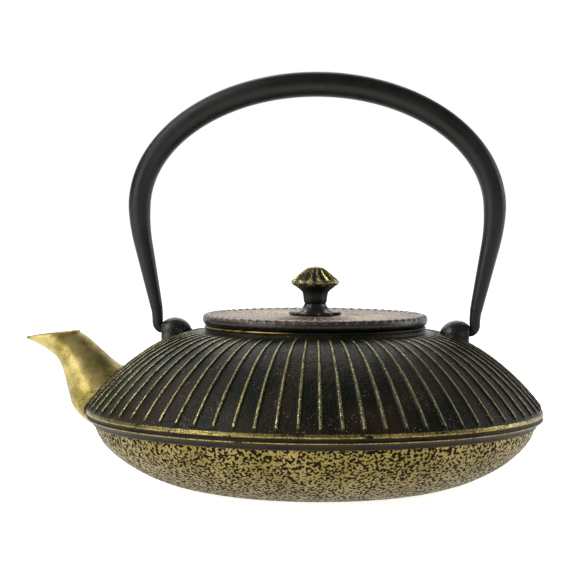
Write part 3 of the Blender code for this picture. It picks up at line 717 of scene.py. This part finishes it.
def spout_section(front, back, half_width, beak):
    """A ring round the spout, narrowed toward its front by the share called beak."""
    turn = circle(SPOUT_SIDES)
    forward = (1 + np.cos(turn)) / 2
    middle = front[None, :] * forward[:, None] + back[None, :] * (1 - forward[:, None])
    width = half_width * np.sin(turn) * (1 - beak * forward**2)
    return np.stack([middle[:, 0], width, middle[:, 1]], axis=1)


def spout_rings(wall, stations):
    """Rings down the spout, a wall's thickness in from its outside."""
    fronts, backs, widths = [], [], []
    for front, back, half_width in stations:
        start, end = spout_point(front), spout_point(back)
        inner = (end - start) / np.linalg.norm(end - start) * wall
        fronts.append(start + inner)
        backs.append(end - inner)
        widths.append(half_width - wall)
    count = (len(stations) - 1) * RINGS_A_STATION
    rings = []
    for i in range(count + 1):
        place = i / RINGS_A_STATION
        beak = 0.35 * max(0, 1 - place / 2)
        sizes = [spline_value(values, place) for values in (fronts, backs, widths)]
        rings.append(spout_section(*sizes, beak))
    return rings


def capped(rings):
    """Rings with a point at each end, so that the loft is closed."""
    rings = np.asarray(rings)
    ends = [np.repeat(rings[i].mean(axis=0)[None, :], rings.shape[1], axis=0) for i in (0, -1)]
    return np.concatenate([ends[0][None], rings, ends[1][None]])


def make_spout(materials):
    rings = spout_rings(0, SPOUT_STATIONS)
    lip = []
    middle = rings[0].mean(axis=0)
    for turn in np.radians((90, 65, 40, 15)):
        # The lip is rounded over its outer edge.
        share = 0.04 * (1 - math.cos(turn))
        ring = rings[0] * (1 - share) + middle * share
        lip.append(ring + np.array([0, 0, LIP_HEIGHT * math.sin(turn)]))
    return dress_in(facing_out(lathe("spout", capped([*lip, *rings]))), materials, SPOUT)


def make_passage(materials):
    """The way through the spout, which flares a little at the lip."""
    rings = spout_rings(SPOUT_WALL, SPOUT_STATIONS[:PASSAGE_STATIONS])
    front, back, half_width = PASSAGE_END
    rings.append(spout_section(spout_point(front), spout_point(back), half_width, 0))
    mouth = []
    middle = rings[0].mean(axis=0)
    for lift, flare in ((5.0, 0.1), (0.6, 0.1), (0.1, 0.07), (-0.3, 0.025)):
        ring = rings[0] + (rings[0] - middle) * flare
        mouth.append(ring + np.array([0, 0, LIP_HEIGHT + lift]))
    passage = lathe("passage", capped([*mouth, *rings[1:]]))
    return dress_in(facing_out(passage), materials, SPOUT)


def make_lug(side, materials):
    """A squashed ball with a flat face, where the pin goes in."""
    shape = bmesh.new()
    height = float(shoulder_z(LUG_X)) - LUG_SINK
    place = Matrix.Translation((side * LUG_X * MM, 0, height * MM))
    stretch = Matrix.Diagonal((*(size * MM for size in LUG_SIZES), 1))
    bmesh.ops.create_uvsphere(shape, u_segments=72, v_segments=40, radius=1, matrix=place @ stretch)
    face = bmesh.ops.bisect_plane(
        shape,
        geom=shape.verts[:] + shape.edges[:] + shape.faces[:],
        plane_co=(side * FACE_X * MM, 0, 0),
        plane_no=(side, 0, 0),
        clear_outer=True,
    )
    edges = [item for item in face["geom_cut"] if isinstance(item, bmesh.types.BMEdge)]
    bmesh.ops.edgeloop_fill(shape, edges=edges)
    rim = [e for e in shape.edges if all(abs(abs(v.co.x) - FACE_X * MM) < 1e-6 for v in e.verts)]
    bmesh.ops.bevel(shape, geom=rim, offset=0.7 * MM, segments=4, affect="EDGES")
    return dress_in(facing_out(from_shape("lug", shape)), materials, LUG)


def make_bore(side, materials):
    shape = bmesh.new()
    start, end = FACE_X - PIN_REACH - 0.8, FACE_X + 5
    place = Matrix.Translation((side * (start + end) / 2 * MM, 0, hinge_z() * MM))
    bmesh.ops.create_cone(
        shape,
        cap_ends=True,
        segments=48,
        radius1=(PIN_RADIUS + PIN_GAP) * MM,
        radius2=(PIN_RADIUS + PIN_GAP) * MM,
        depth=(end - start) * MM,
        matrix=place @ Matrix.Rotation(math.pi / 2, 4, "Y"),
    )
    return dress_in(from_shape("bore", shape), materials, LUG)


def make_vessel():
    # In the order of SHOULDER, BAND, BOWL, INSIDE, SPOUT and LUG
    materials = (
        make_shoulder_material(), make_rim_material(), make_bowl_material(), make_enamel(),
        make_spout_material(), make_lug_material(),
    )
    bowl = even(bowl_outline(), 1.2)
    reach = RIM_RADIUS - NECK_RADIUS
    radii = RIM_RADIUS - 0.5 - (reach - 0.5) * np.linspace(0, 1, 200)
    shoulder = even(np.stack([radii, shoulder_z(radii)], axis=1), 0.85)
    neck = [
        (48.42, 68.5), (48.4, 69.2), (48.5, 69.55), (48.68, 69.85), (48.7, 70.1), (48.55, 70.38),
        (48.2, NECK_TOP),
    ]
    mouth = [
        (46, NECK_TOP), (43.5, NECK_TOP), (43.15, 70.35), (LEDGE_RADIUS, 70.0), (LEDGE_RADIUS, 68),
        (LEDGE_RADIUS, LEDGE_Z), (41, LEDGE_Z), (39.8, LEDGE_Z), (THROAT_RADIUS, LEDGE_Z - 0.3),
    ]
    roof = inward(shoulder, WALL)[::-1]
    roof = even(roof[(roof[:, 0] > 47.5) & (roof[:, 0] < 96.4)], 3.0)
    throat = [(THROAT_RADIUS, float(roof[0, 1])), (43, float(roof[0, 1]))]
    inner_bowl = inward(bowl, WALL)[::-1]
    inner_bowl = even(inner_bowl[(inner_bowl[:, 0] < 94.5) & (inner_bowl[:, 1] > 3.52)], 3.0)
    # The profile goes from the middle of the underside over the outside and back within.
    groups = [
        ("under", [(0, 0), (20, 0), (40, 0), (44, 0)], BOWL), ("bowl", bowl, BOWL),
        ("rim", RIM_PROFILE, BAND), ("shoulder", shoulder, SHOULDER), ("neck", neck, SHOULDER),
        ("mouth", mouth, INSIDE), ("throat", throat, INSIDE), ("roof", roof, INSIDE),
        ("inner_bowl", inner_bowl, INSIDE), ("floor", [(30, WALL), (10, WALL), (0, WALL)], INSIDE),
    ]
    profile = np.concatenate([np.asarray(points, float) for _, points, _ in groups])
    kind = np.concatenate([[name] * len(points) for name, points, _ in groups])
    slots = [slot for _, points, slot in groups for _ in range(len(points))]
    angles = spoke_angles(RIBS, RIB_PHASE, RIB_COLUMNS)
    base = spun(profile, angles)

    radius, z = profile.T
    width = np.interp(radius, [50, 98], [0.75, 1.05])
    size = 0.78 * smooth(49.6, 56, radius) * (1 - smooth(98.5, 99.5, radius))
    size *= np.interp(radius, [50, 98], [0.7, 1.0]) * (kind == "shoulder")
    relief = ridge_height(angles, RIBS, RIB_PHASE, radius, width, 0.8) * size[:, None]
    rough = lumps(base, 3.0, 4) * 0.05 + lumps(base, 16.0, 5) * 0.1
    relief += rough * (np.isin(kind, ("bowl", "shoulder")) * smooth(0.5, 3, z))[:, None]
    ridge = (kind == "rim") * smooth(31.9, 32.7, z) * (1 - smooth(34.1, 34.3, z))
    relief += (lumps(base, 2.2, 6) * 0.09 - 0.12) * ridge[:, None]
    vessel = dress(lathe("vessel_casting", spun(profile, angles, relief), slots), *materials)

    combine(vessel, make_spout(materials), "UNION")
    for side in (-1, 1):
        combine(vessel, make_lug(side, materials), "UNION")
    combine(vessel, make_passage(materials), "DIFFERENCE")
    for side in (-1, 1):
        combine(vessel, make_bore(side, materials), "DIFFERENCE")
    finish_piece(vessel, "vessel", ["vessel_body"], 40)


# ---------------------------------------------------------------- lid and knob


def make_lid():
    middle = (LID_EDGE - LID_BEAD, LID_SEAT + LID_BEAD)
    angles = spoke_angles(LID_RIBS, LID_RIB_PHASE, LID_RIB_COLUMNS)
    plate = even([(0.9, LID_TOP), (LID_EDGE - 2 * LID_BEAD, LID_TOP)], 1.0)[::-1]
    # From the middle of the underside, over the skirt and the rolled edge, to the top
    profile = np.array([
        (0, 71.2), (20, 71.2), (32.2, 71.2), (32.5, 70.9), (32.5, 66), (32.5, 61.3), (32.8, 61.0),
        (35.2, 61.0), (35.5, 61.3), (35.5, 66), (35.5, 70.5), (35.8, LID_SEAT), (40, LID_SEAT),
        *arc(middle, LID_BEAD, -90, 128, 30), *plate.tolist(), (0, LID_TOP),
    ])
    radius, z = profile.T
    size = 0.42 * smooth(10.5, 14, radius) * (1 - 0.4 * smooth(45, 47, radius))
    size *= (1 - smooth(48.9, 49.4, radius)) * ((z > 73.2) & (radius > 1))
    width = np.interp(radius, [12, 45], [0.45, 1.15])
    relief = ridge_height(angles, LID_RIBS, LID_RIB_PHASE, radius, width, 0.9) * size[:, None]
    relief += lumps(spun(profile, angles), 9.0, 8) * 0.05 * ((radius > 12) & (z > 71))[:, None]
    lid_iron = make_lid_material()
    lid = dress(lathe("lid_casting", spun(profile, angles, relief)), lid_iron)
    outline = [(0, 68), (1.5, 68), (1.5, 74.5), (1.75, 76.5), (0, 76.5)]
    vent = lathe("vent", spun(outline, circle(40)))
    vent.data.transform(Matrix.Translation((26 * MM, 17 * MM, 0)))
    combine(lid, dress(vent, lid_iron), "DIFFERENCE")
    hole = lathe("hole", spun([(0, 68), (1.8, 68), (1.8, 78), (0, 78)], circle(32)))
    combine(lid, dress(hole, lid_iron), "DIFFERENCE")
    finish_piece(lid, "lid", ["lid"], 40)


def stem_radius(angles, softness):
    """Share of the corner radius at each angle of the stem, with its corners softened."""
    step = 2 * math.pi / STEM_SIDES
    part = (angles - STEM_PHASE + step / 2) % step - step / 2
    edge = math.cos(step / 2) / np.cos(np.abs(part) - step / 2)
    return edge * (1 - softness * np.exp(-(part / 0.09) ** 2))


def make_knob_seat():
    """The eight-sided flared plate, with a lobe at each corner of its foot."""
    angles = circle(160)
    rise = SEAT_HIGH - SEAT_LOW
    # Radius, height over the lid, and whether the row follows the eight sides
    rows = [
        (1.8, 0, 0), (6, 0, 1), (10.4, 0, 1), (11.3, 0.12, 1), (11.8, 0.45, 1), (11.95, 0.85, 1),
        (11.8, 1.25, 1), (11.35, 1.58, 1),
    ]
    for i in range(15):
        turn = math.pi / 2 * i / 14
        rows.append((10.7 - 5.5 * math.sin(turn), 1.75 + 3.25 * (1 - math.cos(turn)), 1))
    rows += [(4.9, rise, 1), (1.8, rise, 0)]
    valley = 1 - np.abs(np.cos(STEM_SIDES / 2 * (angles - STEM_PHASE))) ** 0.55
    sides = stem_radius(angles, 0.02)
    rings = []
    for radius, height, shaped in rows:
        foot = float(smooth(7.0, 10.8, radius))
        share = sides * (1 - foot) + foot * (1 - 0.16 * valley)
        reach = radius * (share if shaped else 1.0) * np.ones(len(angles))
        lift = SEAT_LOW + height * (1 - 0.4 * valley * foot)
        rings.append(np.stack([reach * np.cos(angles), reach * np.sin(angles), lift], axis=1))
    seat = facing_out(lathe("knob_flare", rings, closed=True))
    dress(seat, make_seat_material())
    finish_piece(seat, "lid", ["knob_seat"], 34)


def make_knob():
    """A cone cap with scooped flutes on an eight-sided stem."""
    angles = spoke_angles(KNOB_FLUTES, KNOB_PHASE, np.arange(12) / 12)
    cone = [(10.0, 90.55), (7.6, 92.5), (5.0, 94.7), (2.9, 96.0), (1.2, 96.55), (0.35, KNOB_TIP)]
    # From the end of the screw's hole, down it and up the outside, to the tip
    parts = (
        ("bore", [(0, 91.6), (1.8, 91.6), (1.8, 88), (1.8, 80.7)]),
        ("stem", [(1.9, 80.08), (4.7, 80.08), (5.05, 80.5), (5.4, 81.0), (5.6, 82.4), (5.8, 83.9),
                  (6.0, 84.9), (6.25, 85.4)]),
        ("under", [(7.0, 86.1), (8.0, 87.0), (8.9, 87.8), (9.6, 88.3), (10.1, 88.6)]),
        ("edge", [(10.42, 88.95), (10.55, 89.4), (10.5, 89.85), (10.3, 90.25)]),
        ("cone", [*even(cone, 0.35).tolist(), (0, KNOB_TIP)]),
    )
    profile = np.array([point for _, points in parts for point in points])
    kind = np.array([name for name, points in parts for _ in points])
    radius = profile[:, 0]
    part = (angles - KNOB_PHASE) / (2 * math.pi) * KNOB_FLUTES
    part = np.abs(part - np.round(part)) * 2
    scoop = (1 - (1 - part) ** 2) ** 0.6
    depth = 1.15 * smooth(2.4, 6.5, radius) * (1 - smooth(9.2, 9.95, radius)) * (kind == "cone")
    rings = spun(profile, angles, -depth[:, None] * scoop[None, :])
    # The stem's sides fade out under the cap.
    fade = (kind == "stem") + (kind == "under") * (1 - smooth(6.2, 9.5, radius))
    rings[:, :, :2] *= (1 + (stem_radius(angles, 0.015)[None, :] - 1) * fade[:, None])[:, :, None]
    knob = dress(facing_out(lathe("knob_cap", rings)), make_knob_material())
    finish_piece(knob, "lid", ["lid_knob"], 34)


# ---------------------------------------------------------------- infuser


def turned(name, profile):
    return facing_out(lathe(name, spun(profile, circle(144)), closed=True))


def perforated_wall(material):
    """A rolled sheet with rows of square holes, as open cells of a grid."""
    columns, rows = 170, 28
    low, high = 21.9, 60.4
    outer, inner = 36.6, 36.1
    hole = 0.52
    shape = bmesh.new()
    turns = [(i + s) / columns for i in range(columns) for s in (0, hole)]
    margin = 1.2
    pitch = (high - low - 2 * margin) / rows
    heights = [low]
    for i in range(rows):
        heights += [low + margin + i * pitch, low + margin + (i + hole) * pitch]
    heights += [high - margin, high]
    ring = [(outer * math.cos(2 * math.pi * t), outer * math.sin(2 * math.pi * t)) for t in turns]
    grid = [[shape.verts.new((x * MM, y * MM, z * MM)) for x, y in ring] for z in heights]
    for i in range(len(heights) - 1):
        for j in range(len(turns)):
            if i % 2 == 1 and i < 2 * rows and j % 2 == 0:
                continue
            k = (j + 1) % len(turns)
            shape.faces.new((grid[i][j], grid[i][k], grid[i + 1][k], grid[i + 1][j]))
    return thickened("infuser_mesh_wall", shape, outer - inner, material)


def perforated_base(material):
    """A round of the same sheet, with its cells in straight rows."""
    pitch, hole, reach, low = 1.35, 0.52, 35.9, 21.2
    count = int(2 * reach / pitch) + 1
    start = -count * pitch / 2
    shape = bmesh.new()
    lines = [start + (i + s) * pitch for i in range(count) for s in (0, hole)]
    verts = {}

    def vert(i, j):
        if (i, j) not in verts:
            verts[i, j] = shape.verts.new((lines[i] * MM, lines[j] * MM, low * MM))
        return verts[i, j]

    for i in range(len(lines) - 1):
        for j in range(len(lines) - 1):
            if i % 2 == 0 and j % 2 == 0:
                continue
            corners = [(i, j), (i + 1, j), (i + 1, j + 1), (i, j + 1)]
            if all(math.hypot(lines[a], lines[b]) < reach for a, b in corners):
                shape.faces.new([vert(a, b) for a, b in corners])
    loose = [v for v in shape.verts if not v.link_faces]
    bmesh.ops.delete(shape, geom=loose, context="VERTS")
    return thickened("infuser_mesh_base", shape, 0.5, material)


def thickened(name, shape, wall, material):
    obj = from_shape(name, shape)
    solid = obj.modifiers.new("Solidify", "SOLIDIFY")
    solid.thickness = wall * MM
    solid.offset = -1
    settle(obj)
    return dress(obj, material)


def make_infuser():
    steel = make_steel("steel_satin", "a9a9a5", 0.26)
    mesh_steel = make_steel("steel_sheet", "9c9c98", 0.34)
    rim = turned("infuser_flange", [
        (42.6, 67.6), (42.5, 67.7), (37.2, 67.7), (36.9, 67.4), (36.9, 57.3), (37.0, 57.2),
        (37.4, 57.2), (37.5, 57.3), (37.5, 66.6), (37.8, 66.9), (42.5, 66.9), (42.6, 67.0),
    ])
    finish_piece(dress(rim, steel), "infuser", ["infuser_rim"])
    hoop = turned("infuser_cup_ring", [
        (37.5, 25.8), (37.4, 25.9), (37.0, 25.9), (36.9, 25.8), (36.9, 20.6), (36.8, 20.5),
        (33.1, 20.5), (33.0, 20.4), (33.0, 20.0), (33.1, 19.9), (37.1, 19.9), (37.5, 20.3),
    ])
    finish_piece(dress(hoop, steel), "infuser", ["infuser_hoop"])
    wall = perforated_wall(mesh_steel)
    finish_piece(wall, "infuser", ["infuser_wall"], 50)
    base = perforated_base(mesh_steel)
    finish_piece(base, "infuser", ["infuser_base"], 50)
    for name in ("knob_screw", "knob_washer"):
        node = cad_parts[name]
        node.data.materials.clear()
        node.data.materials.append(steel)


# ---------------------------------------------------------------- bail


def knee_arc(first, last, points):
    middle = (LEG_X + KNEE_RADIUS, hinge_z() + PIN_ELBOW + PIN_UPRIGHT)
    return arc(middle, KNEE_RADIUS, 180 - math.degrees(first), 180 - math.degrees(last), points)


def bail_leg():
    """Centre line of the tube from its right end up to where the arch begins."""
    lean = math.degrees(BAIL_LEAN)
    knee = knee_arc(TUBE_END_BEND, BAIL_LEAN, 5)
    bend = (KNEE_RADIUS + HAUNCH_RADIUS) * (1 - math.cos(BAIL_LEAN))
    straight = (BAIL_SPREAD - bend) / math.sin(BAIL_LEAN)
    start = np.array(knee[-1])
    along = np.array([math.sin(BAIL_LEAN), math.cos(BAIL_LEAN)])
    line = [tuple(start + along * straight * i / 14) for i in range(1, 14)]
    top = start + along * straight
    middle = top + np.array([-math.cos(BAIL_LEAN), math.sin(BAIL_LEAN)]) * HAUNCH_RADIUS
    return [*knee, *line, *arc(middle, HAUNCH_RADIUS, -lean, 0, 12)]


def tube_rings(points, radii, sides=40):
    """Rings across a line in the XZ plane."""
    points = np.asarray(points, float)
    along = np.gradient(points, axis=0)
    along /= np.hypot(along[:, 0], along[:, 1])[:, None]
    turn = circle(sides)
    rings = []
    for (x, z), (ax, az), radius in zip(points, along, radii):
        side = np.cos(turn) * radius
        rings.append(np.stack([x + az * side, np.sin(turn) * radius, z - ax * side], axis=1))
    return rings


def make_bail():
    satin = make_bail_material()
    leg = bail_leg()
    low = leg[0][1]
    wide, high = leg[-1]
    turns = np.linspace(0, math.pi, 91)[1:-1]
    arch = [(wide * math.cos(a), high + (BAIL_CROWN - high) * math.sin(a)) for a in turns]
    rise = [(z - low) / (high - low) for _, z in leg]
    end_radius, haunch_radius, crown_radius = TUBE_RADII
    leg_radii = [end_radius + (haunch_radius - end_radius) * part for part in rise]
    arch_radii = [haunch_radius + (crown_radius - haunch_radius) * math.sin(a) for a in turns]
    line = np.array(leg + arch + [(-x, z) for x, z in leg[::-1]])
    radii = np.array(leg_radii + arch_radii + leg_radii[::-1])
    outer = tube_rings(line, radii)
    for i in (0, -1):
        # The ends of the tube are drawn in a little.
        centre = outer[i].mean(axis=0)
        outer[i] = centre + (outer[i] - centre) * 0.94
    inner = tube_rings(line, radii - TUBE_WALL)[::-1]
    tube = facing_out(lathe("bail_tube", [*outer, *inner], closed=True))
    finish_piece(dress(tube, satin), "bail", ["handle_tube"], 50)
    for side, name, node in (
        (-1, "bail_pin_left", "handle_pin_left"), (1, "bail_pin_right", "handle_pin_right")
    ):
        pin = dress(make_pin(side, name, leg), satin)
        finish_piece(pin, "bail", [node], 50)


def make_pin(side, name, leg):
    """A hooked pin: from inside the lug, round the elbow and up into the tube."""
    axis = hinge_z()
    elbow = arc((LEG_X - PIN_ELBOW, axis + PIN_ELBOW), PIN_ELBOW, 270, 360, 14)
    knee = knee_arc(0, TUBE_END_BEND, 6)
    start = [(x, axis) for x in np.linspace(FACE_X - PIN_REACH, LEG_X - PIN_ELBOW, 8)[:-1]]
    shank = start + elbow + knee
    sizes = [1.9] * 8 + [1.9 + 0.66 * i / (len(shank) - 9) for i in range(len(shank) - 8)]
    sizes[0] = 1.7
    x, z = knee[-1]
    inside = [(x + 0.01, z + 0.02), *(point for point in leg[1:] if point[1] < leg[0][1] + 15)]
    sizes += [1.45] * len(inside)
    points = [(side * x, z) for x, z in shank + inside]
    return facing_out(lathe(name, capped(tube_rings(points, sizes, 32))))


# ---------------------------------------------------------------- stage


def make_stage():
    """A white floor that the camera and reflections see as bright as the background."""
    mesh = bpy.data.meshes.new("floor")
    square = ((-1, -1), (1, -1), (1, 1), (-1, 1))
    corners = [(x * FLOOR_REACH, y * FLOOR_REACH, 0) for x, y in square]
    mesh.from_pydata(corners, [], [(0, 1, 2, 3)])
    floor = linked("floor", mesh)
    material = bpy.data.materials.new("floor_white")
    material.use_nodes = True
    tree = material.node_tree
    shader = tree.nodes["Principled BSDF"]
    shader.inputs["Base Color"].default_value = (0.8, 0.8, 0.8, 1)
    shader.inputs["Roughness"].default_value = 0.9
    shader.inputs["Specular IOR Level"].default_value = 0.0
    path = tree.nodes.new("ShaderNodeLightPath").outputs
    indirect = math_node(tree, "MAXIMUM", path["Is Glossy Ray"], path["Is Transmission Ray"])
    seen = math_node(tree, "MAXIMUM", path["Is Camera Ray"], indirect)
    shader.inputs["Emission Color"].default_value = (1, 1, 1, 1)
    plug(tree, math_node(tree, "MULTIPLY", seen, FLOOR_GLOW), shader.inputs["Emission Strength"])
    mesh.materials.append(material)


def make_world():
    world = bpy.data.worlds.new("studio")
    bpy.context.scene.world = world
    world.use_nodes = True
    tree = world.node_tree
    background = tree.nodes["Background"]
    background.inputs["Color"].default_value = (1, 1, 1, 1)
    path = tree.nodes.new("ShaderNodeLightPath").outputs
    seen = math_node(tree, "MAXIMUM", path["Is Camera Ray"], path["Is Transmission Ray"])
    # Reflections see the white sweep behind, and a dimmer room in front.
    split = tree.nodes.new("ShaderNodeSeparateXYZ")
    place = tree.nodes.new("ShaderNodeTexCoord").outputs["Generated"]
    tree.links.new(place, split.inputs[0])
    room = step_node(tree, split.outputs["Y"], 0.4, 0.9, 0.05, 1.0)
    ambient = tree.nodes.new("ShaderNodeMix")
    for value, socket in zip((path["Is Glossy Ray"], AMBIENT, room), (0, 2, 3)):
        plug(tree, value, ambient.inputs[socket])
    strength = math_node(tree, "MAXIMUM", seen, ambient.outputs[0])
    tree.links.new(strength, background.inputs["Strength"])


def make_lights():
    for name, place, size, power in LIGHTS:
        light = bpy.data.lights.new(name, "AREA")
        light.shape = "RECTANGLE"
        light.size, light.size_y = size
        light.energy = power
        obj = linked(name, light)
        obj.location = place
        way = Vector(LIGHT_AIM) - Vector(place)
        obj.rotation_euler = way.to_track_quat("-Z", "Y").to_euler()


def make_camera():
    data = bpy.data.cameras.new("camera")
    data.sensor_width = SENSOR_WIDTH
    data.lens = CAMERA_LENS
    camera = linked("camera", data)
    sideways = math.sin(CAMERA_AZIMUTH) * CAMERA_DISTANCE
    back = -math.cos(CAMERA_AZIMUTH) * CAMERA_DISTANCE
    camera.location = (sideways, back, CAMERA_HEIGHT)
    turn = Matrix.Rotation(CAMERA_AZIMUTH + CAMERA_PAN, 3, "Z")
    turn = turn @ Matrix.Rotation(math.pi / 2 - CAMERA_PITCH, 3, "X")
    camera.rotation_euler = (turn @ Matrix.Rotation(CAMERA_ROLL, 3, "Z")).to_euler()
    bpy.context.scene.camera = camera


def main():
    make_camera()
    make_stage()
    make_world()
    make_lights()
    make_vessel()
    make_lid()
    make_knob_seat()
    make_knob()
    make_infuser()
    make_bail()
    bpy.context.scene.view_settings.view_transform = "Standard"


main()
bpy.context.view_layer.update()
